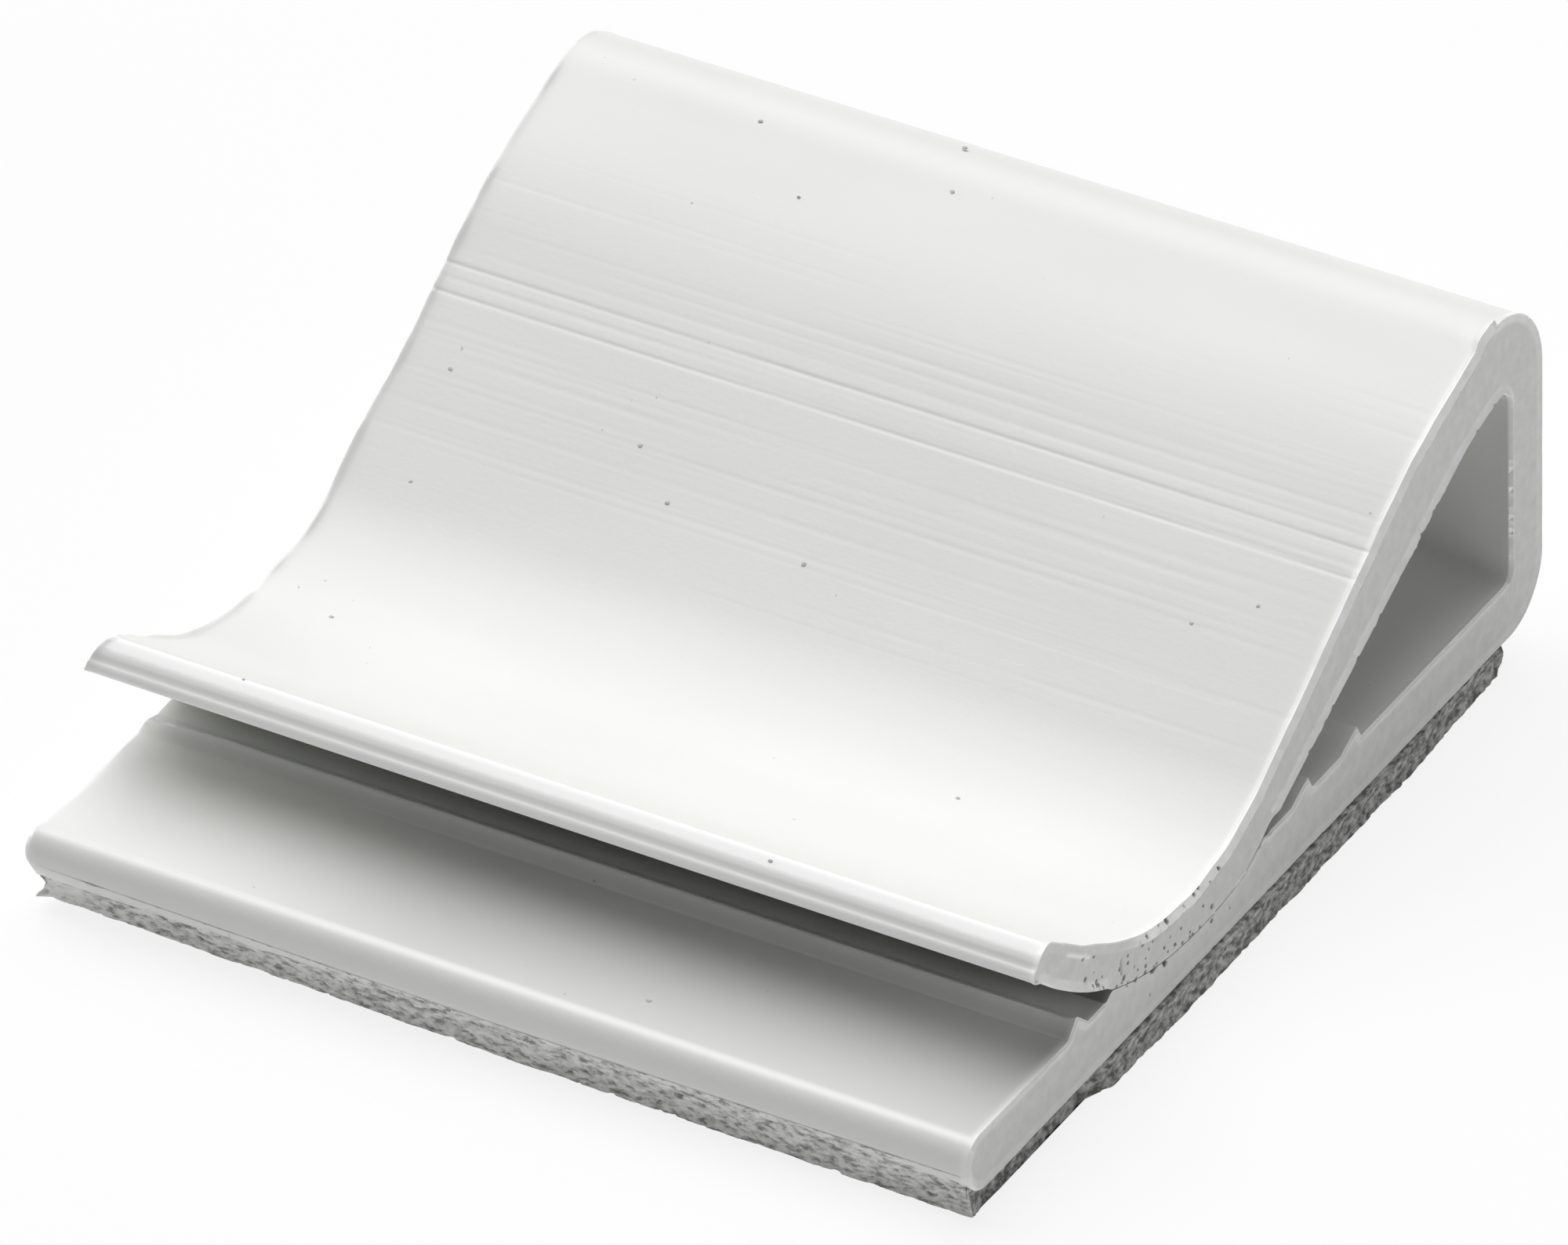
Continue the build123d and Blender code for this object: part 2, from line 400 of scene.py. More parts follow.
def section_step(y, z):
    """How finely the outline is cut at (y, z)."""
    forward, up = y - FRONT, z - CLIP_LOW[2]
    if forward < 4.2 and up > 4.0:
        return LIP_STEP
    if 4.3 < forward < 7.8 and 1.5 < up < 2.0:
        return RIB_STEP
    if forward < 0.8 and up > 0.8:
        return EDGE_STEP
    on_flap_top = DIE_ZONE[0] < y < DIE_ZONE[1] and up > 3.2 + 0.45 * (y - DIE_ZONE[0])
    return MARKED_STEP if on_flap_top else SECTION_STEP


def round_chords(corners, step):
    """The outline with its chords bent back into curves and cut into runs of at most step(y, z)."""
    chord = np.roll(corners, -1, 0) - corners
    length = np.hypot(*chord.T)
    ahead = chord / length[:, None]
    behind = np.roll(ahead, 1, 0)
    long_ahead, long_behind = length, np.roll(length, 1)
    ratio = long_ahead / long_behind
    # On an arc the tangent lies nearer the shorter chord; beside a straight run it is that run's own.
    weight = np.where(ratio > 3, 1.0, np.where(ratio < 1 / 3, 0.0, 1 / (1 + ratio)))
    tangent = weight[:, None] * ahead + (1 - weight[:, None]) * behind
    tangent /= np.hypot(*tangent.T)[:, None]
    corner = (ahead * behind).sum(1) < cos(radians(12))
    leaving = np.where(corner[:, None], ahead, tangent)
    arriving = np.roll(np.where(corner[:, None], behind, tangent), -1, 0)
    points = []
    for i, start in enumerate(corners):
        end = corners[(i + 1) % len(corners)]
        runs = max(1, int(np.ceil(length[i] / step(*(start + end) / 2))))
        for t in np.arange(runs) / runs:
            points.append((2 * t**3 - 3 * t**2 + 1) * start + (3 * t**2 - 2 * t**3) * end
                          + length[i] * ((t**3 - 2 * t**2 + t) * leaving[i]
                                         + (t**3 - t**2) * arriving[i]))
    return np.array(points)


def outward_normals(outline):
    """Unit normals that point out of an anticlockwise outline."""
    ahead = np.roll(outline, -1, 0) - outline
    ahead /= np.hypot(*ahead.T)[:, None]
    along = ahead + np.roll(ahead, 1, 0)
    along /= np.hypot(*along.T)[:, None]
    return np.stack((along[:, 1], -along[:, 0]), 1)


class Section:
    """The clip's section: its outline, outward normals, and which part of the clip each place is on."""

    def __init__(self):
        corners = end_outline("clip_body")
        outline = round_chords(corners, section_step)
        self.index = np.arange(len(outline))
        self.crown = int(outline[:, 1].argmax())
        above_base = np.flatnonzero(outline[:, 1] > CLIP_LOW[2] + 2.5)
        self.tip = int(above_base[outline[above_base, 0].argmin()])
        self.hollow_top = self.tip + int(outline[self.tip:, 1].argmax())
        self.flap = (self.index >= self.crown) & (self.index <= self.hollow_top)
        self.flap_top = (self.index >= self.crown) & (self.index <= self.tip)
        self.underside = (self.index > self.tip) & (self.index <= self.hollow_top)
        self.floor = self.index > self.hollow_top
        self.floor_level = float(np.median(outline[self.floor & (outline[:, 0] < FRONT + 10), 1]))
        normal = outward_normals(outline)
        lip_lift, self.lip_painted_highlight = self.lip_roll(corners, outline, normal)
        shift = lip_lift + self.nip_closing(outline)
        self.outline = outline + normal * shift[:, None]
        self.turn_up_ridge()
        self.normal = outward_normals(self.outline)
        self.girth = np.concatenate(([0], np.cumsum(np.hypot(*np.diff(self.outline, axis=0).T))))
        self.in_nip = (self.nip_closing(outline) > 0) | (
            self.floor & (outline[:, 0] > NIP_SPAN[0]) & (outline[:, 0] < NIP_SPAN[1]))

    def lip_roll(self, corners, outline, normal):
        """How far the bead and groove on the lip's face lift each outline point, and how much painted
        highlight they get.
        """
        following = np.roll(corners, -1, 0)
        chord = following - corners
        length = np.hypot(*chord.T)
        on_lip = (corners[:, 0] < FRONT + 4.2) & (corners[:, 1] > CLIP_LOW[2] + 3.9)
        facing = (chord[:, 1] / length < -0.5) & (chord[:, 0] < 0)
        best = np.where(on_lip & facing, length, 0).argmax()
        low, up = following[best], -chord[best] / length[best]
        out = np.array((-up[1], up[0]))
        place = (outline - low) @ up + LIP_EDGE
        along_face = (place > -0.05) & (place < length[best] + 2 * LIP_EDGE)
        near = (np.abs((outline - low) @ out) < 0.19) & along_face
        facing_out = near * smooth((place + 0.05) / 0.1) * np.clip(normal @ out, 0, 1)
        # Painted highlight on the lip's face, left out in its groove.
        white = facing_out * (1 - hump(place - LIP_GROOVE[0], LIP_GROOVE[1]))
        return np.interp(place, *zip(*LIP_FACE)) * facing_out, white

    def nip_closing(self, outline):
        """How far the flap's belly comes down at each outline point to close the nip."""
        y = outline[:, 0]
        window = smooth((y - NIP_SPAN[0]) / 0.4) * smooth((NIP_SPAN[1] - y) / 0.5)
        return NIP_CLOSING * window * self.underside * (outline[:, 1] < CLIP_LOW[2] + 2.6)

    def turn_up_ridge(self):
        """Lifts the base's floor in front of the groove until it follows the belly."""
        foot, crest, groove, height = NIP_RIDGE
        belly = self.outline[self.underside & (self.outline[:, 0] < NIP_SPAN[1])]
        belly = belly[belly[:, 0].argsort()]
        y, z = self.outline.T
        under = np.interp(y, belly[:, 0], belly[:, 1]) - 1.05 * NIP_GAP
        ridge = self.floor_level + height * smooth((y - foot) / (crest - foot))
        lifted = np.maximum(z, np.minimum(under, ridge))
        self.outline[:, 1] = np.where(self.floor & (y > foot) & (y < groove), lifted, z)

    def top_at(self, y, part):
        """Height and outward normal of the flap's or the floor's upper side at y."""
        rows = self.index[part]
        near = rows[np.abs(self.outline[rows, 0] - y).argmin()]
        return self.outline[near, 1], self.normal[near]

    def is_flap(self, points):
        """Which (y, z) places lie in the flap and not in the base, back wall or crown."""
        under = self.outline[self.tip:self.hollow_top + 1]
        floor = self.outline[self.hollow_top:]
        order = floor[:, 0].argsort()
        under_order = under[:, 0].argsort()
        under_z = np.interp(points[:, 0], under[under_order, 0], under[under_order, 1])
        floor_z = np.interp(points[:, 0], floor[order, 0], floor[order, 1])
        return points[:, 1] > (under_z + floor_z) / 2

    def rake(self, points):
        """How far the uneven left cut stands out past a square one, at (y, z) places."""
        rakes = []
        for stations in (np.array(FLAP_RAKE), np.array(BASE_RAKE)):
            gap = np.hypot(*(points[:, None] - stations[None, :, :2]).transpose(2, 0, 1))
            weight = 1 / (gap + 0.15)**3
            rakes.append((weight * stations[:, 2]).sum(1) / weight.sum(1))
        return np.where(self.is_flap(points), *rakes)

    def rib_growth(self, x):
        """The rib's height along X as a share of its full one: torn low at the left, proud at the right."""
        return (0.45 + 0.55 * smooth((x + HALF) / 2.2)) * (1 + 0.45 * hump(HALF - x, 0.2))

    def rim_strength(self):
        """How much the saw raised the end's edge at each outline point and whitened it, partly as burr and
        partly as painted highlight; little on the lip.
        """
        strong = np.where(self.flap | (self.normal[:, 0] < -0.7), 1.0, 0.45)
        on_lip = self.flap_top * smooth((-5.2 - self.outline[:, 0]) / 1.2)
        return np.where(self.in_nip, 0.1, strong * (1 - 0.85 * on_lip))

    def painted_nip_shade(self):
        """Painted shade at each outline point: a little on the base's floor under the lip, much where the
        flap nips it.
        """
        y, z = self.outline.T
        before = self.floor & (y < NIP_SPAN[0] + 1) & (z > CLIP_LOW[2] + 1.0)
        nipped = smooth((y - NIP_SPAN[0] + 0.3) / 0.25) * ((y < NIP_SPAN[1]) & self.in_nip)
        tilt = np.arctan2(-self.normal[:, 0], self.normal[:, 1])
        level = before * smooth((radians(24) - tilt) / radians(12))
        return np.maximum(FLOOR_PAINTED_SHADE * level, NIP_PAINTED_SHADE * nipped)

    def rib_crest(self):
        """1 along the rib's crest, where a highlight is painted."""
        rib = self.floor & (self.outline[:, 0] < FRONT + 6) & (self.outline[:, 1] > self.floor_level + 0.05)
        return rib * smooth((self.outline[:, 1] - self.floor_level - 0.18) / 0.08)

    def painted_edge_highlight(self):
        """1 along the painted highlight line on the base's rounded front edge."""
        tilt = np.arctan2(-self.normal[:, 0], self.normal[:, 1])
        near = self.floor & (self.outline[:, 0] < FRONT + 0.75) & (self.outline[:, 1] > CLIP_LOW[2] + 0.8)
        return hump(tilt - radians(25), radians(9)) * near


def inside(outline, points):
    """Which points lie inside a closed outline, by counting crossings."""
    y, z = points[:, :1], points[:, 1:]
    start, end = outline, np.roll(outline, -1, 0)
    spans = (start[:, 1] > z) != (end[:, 1] > z)
    with np.errstate(divide="ignore", invalid="ignore"):
        at = start[:, 0] + (z - start[:, 1]) / (end[:, 1] - start[:, 1]) * (end[:, 0] - start[:, 0])
    return ((y < at) & spans).sum(1) % 2 == 1


def distance_to(outline, points):
    """Each point's distance to a closed outline, and the index of the run that it is nearest to."""
    start = outline[None]
    run = (np.roll(outline, -1, 0) - outline)[None]
    gaps, rows = [], []
    for some in np.array_split(points, max(1, len(points) // 1000)):
        offset = some[:, None] - start
        share = np.clip((offset * run).sum(2) / (run**2).sum(2), 0, 1)
        gap = np.hypot(*np.moveaxis(offset - share[..., None] * run, 2, 0))
        rows.append(gap.argmin(1))
        gaps.append(gap.min(1))
    return np.concatenate(gaps), np.concatenate(rows)


def die_marks(section, x):
    """Depth of the die's scratches at each section point (rows) and x (columns)."""
    rng = np.random.default_rng(7)
    y = section.outline[:, 0]
    depth = np.zeros((len(y), len(x)))
    marks = [(*mark, -99, 99) for mark in DEEP_MARKS]
    for _ in range(FAINT_MARKS):
        place = rng.normal(5.2, 2.2)
        start = rng.uniform(-22, 10)
        marks.append((place, rng.uniform(0.036, 0.08), rng.uniform(0.0015, 0.005), start,
                      start + rng.uniform(6, 30)))
    for number, (place, width, deep, start, end) in enumerate(marks):
        fade = smooth((x - start) / 3) * smooth((end - x) / 3)
        fade = fade * (0.8 + 0.35 * wander(x, 2.5, 100 + number))
        depth += np.outer(hump(y - place, width), deep * fade)
    return depth * section.flap_top[:, None]


def make_clip(section, materials):
    """The clip's skin swept along X between its two sawn ends, as one closed mesh."""
    inner = HALF - END_SLICES[-1]
    middle = np.linspace(-inner, inner, int(2 * inner / SLICE_STEP) + 1)
    edge = np.array(END_SLICES[:-1])
    x = np.concatenate((-HALF + edge, middle, HALF - edge[::-1]))
    outline, normal, count = section.outline, section.normal, len(section.outline)
    from_end = HALF - np.abs(x)

    # A thin burr is turned over each end's edge, strongest along the flap's top.
    burr = np.where(section.flap_top, 0.085, 0.025) * (0.75 + 0.4 * wander(section.girth, 0.8, 3))
    burr = np.where(section.in_nip, 0, burr)
    lift = burr[:, None] * hump(from_end, 0.11)[None] - die_marks(section, x)
    low, high, tall = CROWN_BURR
    on_crown = smooth((outline[:, 0] - low) / 0.25) * smooth((high - outline[:, 0]) / 0.15)
    lift += tall * np.outer(on_crown * section.flap_top, hump(HALF - x, 0.2))
    yz = outline[:, None] + normal[:, None] * lift[..., None]
    on_rib = section.floor & (outline[:, 0] < FRONT + 6.5) & (outline[:, 1] > section.floor_level + 0.004)
    height = yz[..., 1] - section.floor_level
    growth = np.where(on_rib[:, None], section.rib_growth(x)[None], 1)
    yz[..., 1] = section.floor_level + height * growth
    share = (HALF - x) / (2 * HALF)
    along = x[None] - section.rake(outline)[:, None] * share[None]**3
    points = np.concatenate((along[..., None], yz), 2).transpose(1, 0, 2).reshape(-1, 3)
    # Skin near each sawn end is whitened, partly as a smeared burr and partly as painted highlight.
    end_burr_and_highlight = np.where(section.in_nip, 0.3, 1.0)[None] * hump(from_end, 0.12)[:, None]
    crest = section.rib_crest()
    # Painted highlights along the base's front edge, the lip's face and the rib's crest.
    painted_highlights = np.maximum(np.maximum(section.painted_edge_highlight(), section.lip_painted_highlight), 0.9 * crest)
    burr_and_painted_highlight = np.maximum(end_burr_and_highlight, painted_highlights[None]).ravel()
    # Painted shade on the base's floor and in the nip, lighter towards the left end where the light reaches
    # in; the rib's left tip is darkened too.
    least, start, run = PAINTED_SHADE_GROWTH
    painted_shade_and_tip_dark = np.outer(least + (1 - least) * smooth((x + HALF - start) / run), section.painted_nip_shade())
    painted_shade_and_tip_dark = np.maximum(painted_shade_and_tip_dark, TIP_DARKENING * np.outer(hump(x + HALF, 0.1), crest)).ravel()

    faces = grid_faces(len(x), count)
    kinds = [0] * len(faces)
    painted_shade_marks = np.zeros(len(points))
    for side, slice_number in ((-1, 0), (1, len(x) - 1)):
        ring = np.arange(count) + slice_number * count
        cap = make_cap(section, points[ring], side)
        place = np.concatenate((ring, len(points) + np.arange(len(cap["points"]))))
        points = np.concatenate((points, cap["points"]))
        burr_and_painted_highlight, painted_shade_marks = np.concatenate((burr_and_painted_highlight, cap["burr_and_painted_highlight"])), np.concatenate((painted_shade_marks, cap["painted_shade_marks"]))
        painted_shade_and_tip_dark = np.concatenate((painted_shade_and_tip_dark, np.zeros(len(cap["painted_shade_marks"]))))
        for face in cap["faces"]:
            corners = [int(place[v]) for v in face]
            faces.append(corners if side > 0 else corners[::-1])
            kinds.append(1)
    clip = make_piece("clip", points, faces, materials, kinds,
                      {"burr_and_painted_highlight": burr_and_painted_highlight, "painted_shade_marks": painted_shade_marks, "painted_shade_and_tip_dark": painted_shade_and_tip_dark})
    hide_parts("clip_body")


def scattered_pits(section):
    """Small pits that the saw tore along the nip, as (y, z, radius, depth)."""
    rng = np.random.default_rng(20)
    belly = section.outline[section.underside]
    order = belly[:, 0].argsort()
    places = rng.uniform(-8.2, -2.2, SCATTERED_PITS)
    heights = np.interp(places, belly[order, 0], belly[order, 1])
    heights = heights + np.abs(rng.normal(0, 0.32, len(places)))
    return [(y, z + 0.02, rng.uniform(0.025, 0.06), rng.uniform(0.03, 0.09))
            for y, z in zip(places, heights)]


def make_cap(section, ring, side):
    """Fills one sawn end: a dense net near the outline for its rim, and torn pits, threads and grain."""
    outline = ring[:, 1:]
    rng = np.random.default_rng(40 + side)
    pits, threads = scattered_pits(section), ()
    if side > 0:
        pits, threads = (*END_PITS, *pits), END_THREADS
    nets = [outline - section.normal * inset for inset in (0.06, 0.12, 0.18, 0.23, 0.28, 0.32, 0.37)]
    spacing = 0.2
    grid = np.stack(np.meshgrid(np.arange(-13.6, 13.6, spacing), np.arange(0.9, 10.1, spacing)), 2)
    nets.append(grid.reshape(-1, 2) + rng.uniform(-0.3, 0.3, (grid.size // 2, 2)) * spacing)
    angle = np.arange(8) * tau / 8
    ring_of = np.stack((np.cos(angle), np.sin(angle)), 1)
    for y, z, radius, _ in pits:
        for reach in (1.4, 1.0, 0.6, 0.25):
            nets.append(np.array((y, z)) + radius * reach * ring_of)
    for thread in threads:
        start, end, width = np.array(thread[:2]), np.array(thread[2:4]), thread[4]
        run = end - start
        across = np.array((-run[1], run[0])) / np.hypot(*run)
        for share in np.arange(0, 1.001, 0.05 / np.hypot(*run)):
            nets.append(start + share * run + across * width * np.linspace(-1.6, 1.6, 5)[:, None])
    net = np.concatenate(nets)
    net = net[inside(outline, net)]
    gap, nearest = distance_to(outline, net)
    net, nearest, gap = net[gap > 0.03], nearest[gap > 0.03], gap[gap > 0.03]
    count = len(outline)
    flat = [Vector(p) for p in np.concatenate((outline, net)).tolist()]
    found, _, faces, origins, _, _ = delaunay_2d_cdt(flat, [(i, (i + 1) % count) for i in range(count)],
                                                     [], 1, 1e-6)
    source = [o[0] for o in origins]
    kept = np.array(sorted({source[v] for face in faces for v in face} - set(range(count))))
    row = {int(k): count + n for n, k in enumerate(kept)}
    row.update({i: i for i in range(count)})
    faces = [[row[source[v]] for v in face] for face in faces]
    places = net[kept - count]
    gap, nearest = gap[kept - count], nearest[kept - count]

    # The rim is a ridge just inside the flap's top edge; the other edges rise right to the corner.
    strength = section.rim_strength()[nearest]
    outer = section.flap_top[nearest]
    curb = np.where(outer, smooth(gap / 0.2) * smooth((0.30 - gap) / 0.1), smooth((0.24 - gap) / 0.24))
    spots = np.column_stack((places, np.zeros(len(places))))
    # Whitening along the edge, partly a smeared burr and partly painted highlight.
    burr_and_painted_highlight = strength * smooth((RIM_WIDTH - gap) / 0.1) * (0.85 + 0.3 * grain(spots, 0.3))
    out = 0.016 * grain(spots, 0.5, 3.0 * side)
    out = out * smooth((gap - 0.05) / 0.2) + RIM_HEIGHT * curb * strength
    dip = np.zeros(len(places))
    for y, z, radius, depth in pits:
        reach = 1.4 * radius - np.hypot(*(places - (y, z)).T)
        dip = np.maximum(dip, depth * smooth(reach / (0.8 * radius)))
    for thread in threads:
        ridge = hump(to_thread(places, thread), thread[4])
        out = out + thread[5] * ridge
        burr_and_painted_highlight = np.maximum(burr_and_painted_highlight, ridge * (thread[5] > 0))
        dip = np.maximum(dip, -thread[5] * ridge)
    out = out - dip
    # A painted shade line just inside the flap's rim.
    seam_at, seam_width, seam_tone = RIM_PAINTED_SHADE_LINE
    painted_seam_shade = seam_tone * outer * hump(gap - seam_at, seam_width) * strength * (0.6 + grain(spots, 0.4, 9.0))
    # Painted shade in the torn pits and along the line inside the rim.
    pit_and_seam_shade = np.maximum(np.clip(dip / 0.06, 0, 1) * 0.9, np.clip(painted_seam_shade, 0, 1))
    x = side * (HALF + out) - (section.rake(places) if side < 0 else 0)
    return {"points": np.column_stack((x, places)), "faces": faces, "burr_and_painted_highlight": np.clip(burr_and_painted_highlight, 0, 1), "painted_shade_marks": pit_and_seam_shade}


# The foam tape

def rounded_ring(low, high, radius, spacing):
    """Points round a rectangle with rounded corners, anticlockwise, with their outward directions."""
    points, outward = [], []
    left, front = low[:2] + radius
    right, back = high[:2] - radius
    centres = [np.array(c) for c in ((left, front), (right, front), (right, back), (left, back))]
    for k, centre in enumerate(centres):
        for angle in pi + k * pi / 2 + np.linspace(0, pi / 2, 5):
            out = np.array((cos(angle), sin(angle)))
            points.append(centre + radius * out)
            outward.append(out)
        run = centres[(k + 1) % 4] - centre
        steps = int(np.hypot(*run) / spacing)
        for share in np.arange(1, steps) / steps:
            points.append(centre + radius * out + run * share)
            outward.append(out)
    return np.array(points), np.array(outward)


def toe_height(y):
    """Height of the base's underside at y, up its rounded toe, less the tape's gap."""
    radius = TOE_RADIUS + TAPE_GAP
    drop = np.sqrt(np.clip(radius**2 - (y - TOE_CENTRE[0])**2, 0, None))
    return np.where(y < TOE_CENTRE[0], TOE_CENTRE[1] - drop, TOE_CENTRE[1] - radius)


def make_tape(material):
    """Foam tape with crumbled, bowed sides; its front curls off the floor and is pressed up the toe."""
    spacing, levels = 0.075, 17
    low, high = TAPE_LOW, TAPE_HIGH
    ring, outward = rounded_ring(low, high, 0.12, spacing)
    count = len(ring)
    girth = np.concatenate(([0], np.cumsum(np.hypot(*np.diff(ring, axis=0).T))))
    centre, reach = (low[:2] + high[:2]) / 2, (high[:2] - low[:2]) / 2

    def at_x(values, x):
        return np.interp(x, (low[0], 0, high[0]), values)

    def bottom(place):
        lift = at_x(TAPE_CURL, place[:, 0]) * np.clip((low[1] + 1.45 - place[:, 1]) / 1.45, 0, 1)**2
        return np.column_stack((place, low[2] + lift))

    def top(place):
        climb = at_x(TAPE_CLIMB, place[:, 0])
        lean = np.sqrt((TOE_RADIUS + TAPE_GAP)**2 - (TOE_CENTRE[1] - climb)**2)
        forward = low[1] - (TOE_CENTRE[0] - lean)
        y = place[:, 1] - forward * smooth((low[1] + 1.05 - place[:, 1]) / 1.05)
        return np.column_stack((place[:, 0], y, toe_height(y)))

    def shrunk(inset):
        return centre + (ring - centre) * (1 - inset / reach)

    x, y = ring.T
    front = smooth((-outward[:, 1] - 0.2) / 0.6)
    right = smooth((outward[:, 0] - 0.2) / 0.6)
    left = smooth((-outward[:, 0] - 0.2) / 0.6)
    bow = right * np.interp(y, *zip(*TAPE_BOW)) + 0.03 * (1 - front) * wander(girth, 2.3, 11)
    bow = bow + 0.02 * wander(girth, 0.6, 12)
    back = smooth((outward[:, 1] - 0.2) / 0.6)
    pinch = -0.05 - 0.17 * left - 0.03 * wander(girth, 3.1, 13) + 0.10 * back
    feet, heads = bottom(ring), top(ring)
    tail, tail_run = TAPE_TAIL
    walls = []
    for share in np.linspace(0, 1, levels):
        place = feet + (heads - feet) * share
        hold = 1 - front * smooth((share - 0.8) / 0.2)
        spread = bow * hold + pinch * sin(pi * share) + TAPE_SPREAD * back * smooth(share / 0.7)
        spread = spread + tail * left * smooth((low[1] + tail_run - y) / tail_run) * (1 - share)
        place[:, :2] += outward * spread[:, None]
        walls.append(place)
    walls = np.concatenate(walls)
    level = np.repeat(np.linspace(0, 1, levels), count)
    every, torn, sides = np.tile(outward, (levels, 1)), np.tile(front, levels), np.tile(right, levels)
    stretched = walls * (0.6, 0.85, 1.2)
    rough = grain(stretched, 0.19, 5.0) + 0.6 * torn * grain(walls, 0.08, 9.0)
    dents = smooth((grain(stretched, 0.13, 31.0) - 0.28) / 0.3)
    hold = 1 - torn * smooth((level - 0.85) / 0.15)
    push = (0.026 * rough - (0.050 - 0.02 * sides) * dents) * hold
    pale_from, pale_run, palest = TAPE_PALE
    pale = palest * torn * smooth((pale_from - walls[:, 0]) / pale_run)
    shade = np.zeros(len(walls))
    for thread in TAPE_THREADS:
        apart = to_thread(walls[:, [0, 2]], thread)
        beneath = to_thread(walls[:, [0, 2]] + (0, 1.9 * thread[4]), thread)
        pale = np.maximum(pale, torn * hump(apart, thread[4]))
        shade = np.maximum(shade, torn * hump(beneath, thread[4]))
    # The palest end lies flat; the threads stand out over their own shade.
    push = push + 0.05 * pale * (walls[:, 0] > -11.3) - 0.04 * shade * (1 - pale)
    walls[:, :2] += every * push[:, None]
    # Painted shade in the dents, stronger on the right side, and under the torn threads.
    painted_shade_marks = np.clip((0.25 + 0.25 * sides) * dents + 0.45 * shade * (1 - pale), 0, 1)

    rings = [bottom(shrunk(inset)) for inset in (1.5, 0.9, 0.5, 0.2)]
    lids = [top(shrunk(inset)) for inset in (0.2, 0.5, 0.9)]
    points = np.concatenate((*rings, walls, *lids))
    total = len(points) // count
    faces = grid_faces(total, count)
    faces.append(tuple(range(count))[::-1])
    faces.append(tuple((total - 1) * count + i for i in range(count)))

    def full(values):
        return np.concatenate((np.zeros(len(rings) * count), values, np.zeros(len(lids) * count)))

    tape = make_piece("tape", points, faces, [material],
                      values={"painted_shade_marks": full(painted_shade_marks), "pale": full(pale), "torn": full(torn)})
    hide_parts("foam_tape")


# Grit on the plastic: x and y of each grain, and whether it lies on the flap or the base's floor.
GRIT_ON_FLAP = ((-11.36, 3.18), (-5.87, 2.87), (-4.56, 1.9), (-11.03, 0.7), (-5.09, 9.14),
                (-7.11, 10.77), (-2.14, 12.02), (-1.6, 10.49), (10.66, 3.59), (9.28, 2.84),
                (-0.58, 1.56), (6.02, -2.57), (5.38, -10.0), (-9.12, -9.8), (-10.83, -3.32))
GRIT_ON_FLOOR = ((3.38, -12.32),)


def make_grit(section, material):
    """Small flat grains set down on the surface that carries them."""
    rng = np.random.default_rng(5)
    points, faces = [], []
    for part, places in ((section.flap_top, GRIT_ON_FLAP), (section.floor, GRIT_ON_FLOOR)):
        for x, y in places:
            z, (ny, nz) = section.top_at(y, part)
            along = np.array((1.0, 0, 0))
            across = np.array((0, nz, -ny))
            up = np.array((0, ny, nz))
            centre = np.array((x, y, z))
            radius = rng.uniform(0.04, 0.075)
            start = len(points)
            sides = 9
            for reach, height in ((1.0, -0.01), (0.75, 0.012), (0.35, 0.02)):
                for k in range(sides):
                    r = radius * reach * rng.uniform(0.75, 1.2)
                    a = tau * k / sides
                    points.append(centre + along * r * cos(a) * 1.25 + across * r * sin(a) + up * height)
            for ring in range(2):
                for k in range(sides):
                    a, b = start + ring * sides + k, start + ring * sides + (k + 1) % sides
                    faces.append((a, b, b + sides, a + sides))
            faces.append(tuple(start + 2 * sides + k for k in range(sides)))
    make_piece("grit", points, faces, [material])


# Floor and light

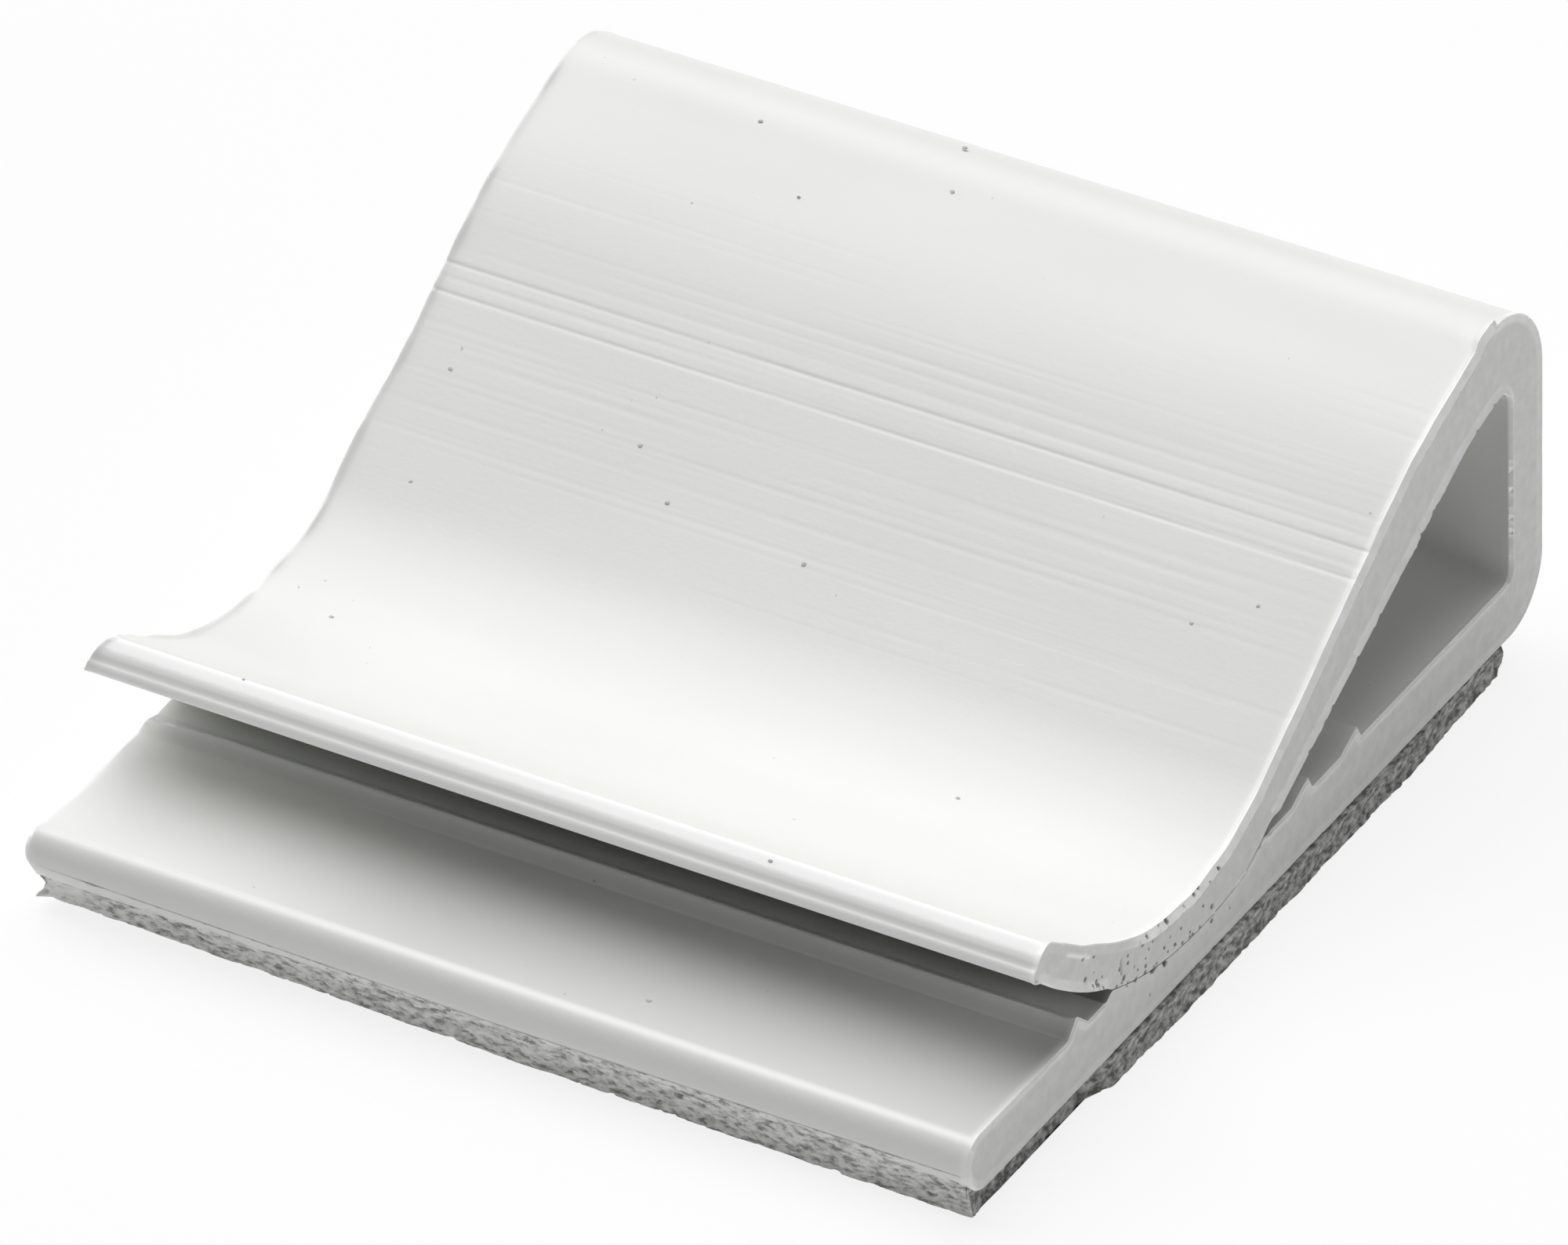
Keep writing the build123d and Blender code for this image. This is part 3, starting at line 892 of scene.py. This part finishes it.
def make_floor():
    """A pale floor that takes the clip's shadow and goes to white for the rays that see it."""
    reach, z = FLOOR_REACH * MM, -FLOOR_DROP * MM
    mesh = bpy.data.meshes.new("floor")
    mesh.from_pydata([(-reach, -reach, z), (reach, -reach, z), (reach, reach, z), (-reach, reach, z)],
                     [], [(0, 1, 2, 3)])
    floor = bpy.data.objects.new("floor", mesh)
    bpy.context.scene.collection.objects.link(floor)
    graph = Graph("floor")
    rays = graph.add("ShaderNodeLightPath").outputs
    seen = graph.add("ShaderNodeMath", {0: rays["Is Camera Ray"], 1: rays["Is Glossy Ray"]},
                     operation="MAXIMUM").outputs[0]
    seen = graph.add("ShaderNodeMath", {0: seen, 1: rays["Is Transmission Ray"]},
                     operation="MAXIMUM").outputs[0]
    share = graph.add("ShaderNodeMath", {0: seen, 1: FLOOR_GLOW}, operation="MULTIPLY").outputs[0]
    paper = graph.add("ShaderNodeBsdfDiffuse", {"Color": (0.92, 0.92, 0.92, 1)})
    glow = graph.add("ShaderNodeEmission", {"Color": (1, 1, 1, 1), "Strength": 1.0})
    mesh.materials.append(graph.output(graph.add("ShaderNodeMixShader", {
        0: share, 1: paper.outputs[0], 2: glow.outputs[0]})))


def make_light():
    for name, (level, spread, aim) in LAMPS.items():
        data = bpy.data.lights.new(name, "SUN")
        data.energy, data.angle = level, spread
        lamp = bpy.data.objects.new(name, data)
        lamp.rotation_mode = "QUATERNION"
        lamp.rotation_quaternion = Vector(aim).to_track_quat("-Z", "Y")
        bpy.context.scene.collection.objects.link(lamp)
    world = bpy.data.worlds.new("studio")
    bpy.context.scene.world = world
    world.use_nodes = True
    nodes, links = world.node_tree.nodes, world.node_tree.links
    nodes.clear()
    paths = nodes.new("ShaderNodeLightPath")
    background = nodes.new("ShaderNodeBackground")
    seen = nodes.new("ShaderNodeMapRange")
    seen.inputs[3].default_value, seen.inputs[4].default_value = SKY_LEVEL, 1.0
    links.new(paths.outputs["Is Camera Ray"], seen.inputs[0])
    links.new(seen.outputs[0], background.inputs["Strength"])
    links.new(background.outputs[0], nodes.new("ShaderNodeOutputWorld").inputs["Surface"])


bpy.context.scene.view_settings.view_transform = "Standard"
make_camera()
make_floor()
make_light()
clip_section = Section()
make_clip(clip_section, [skin_material(), cut_material()])
make_tape(foam_material())
make_grit(clip_section, speck_material())
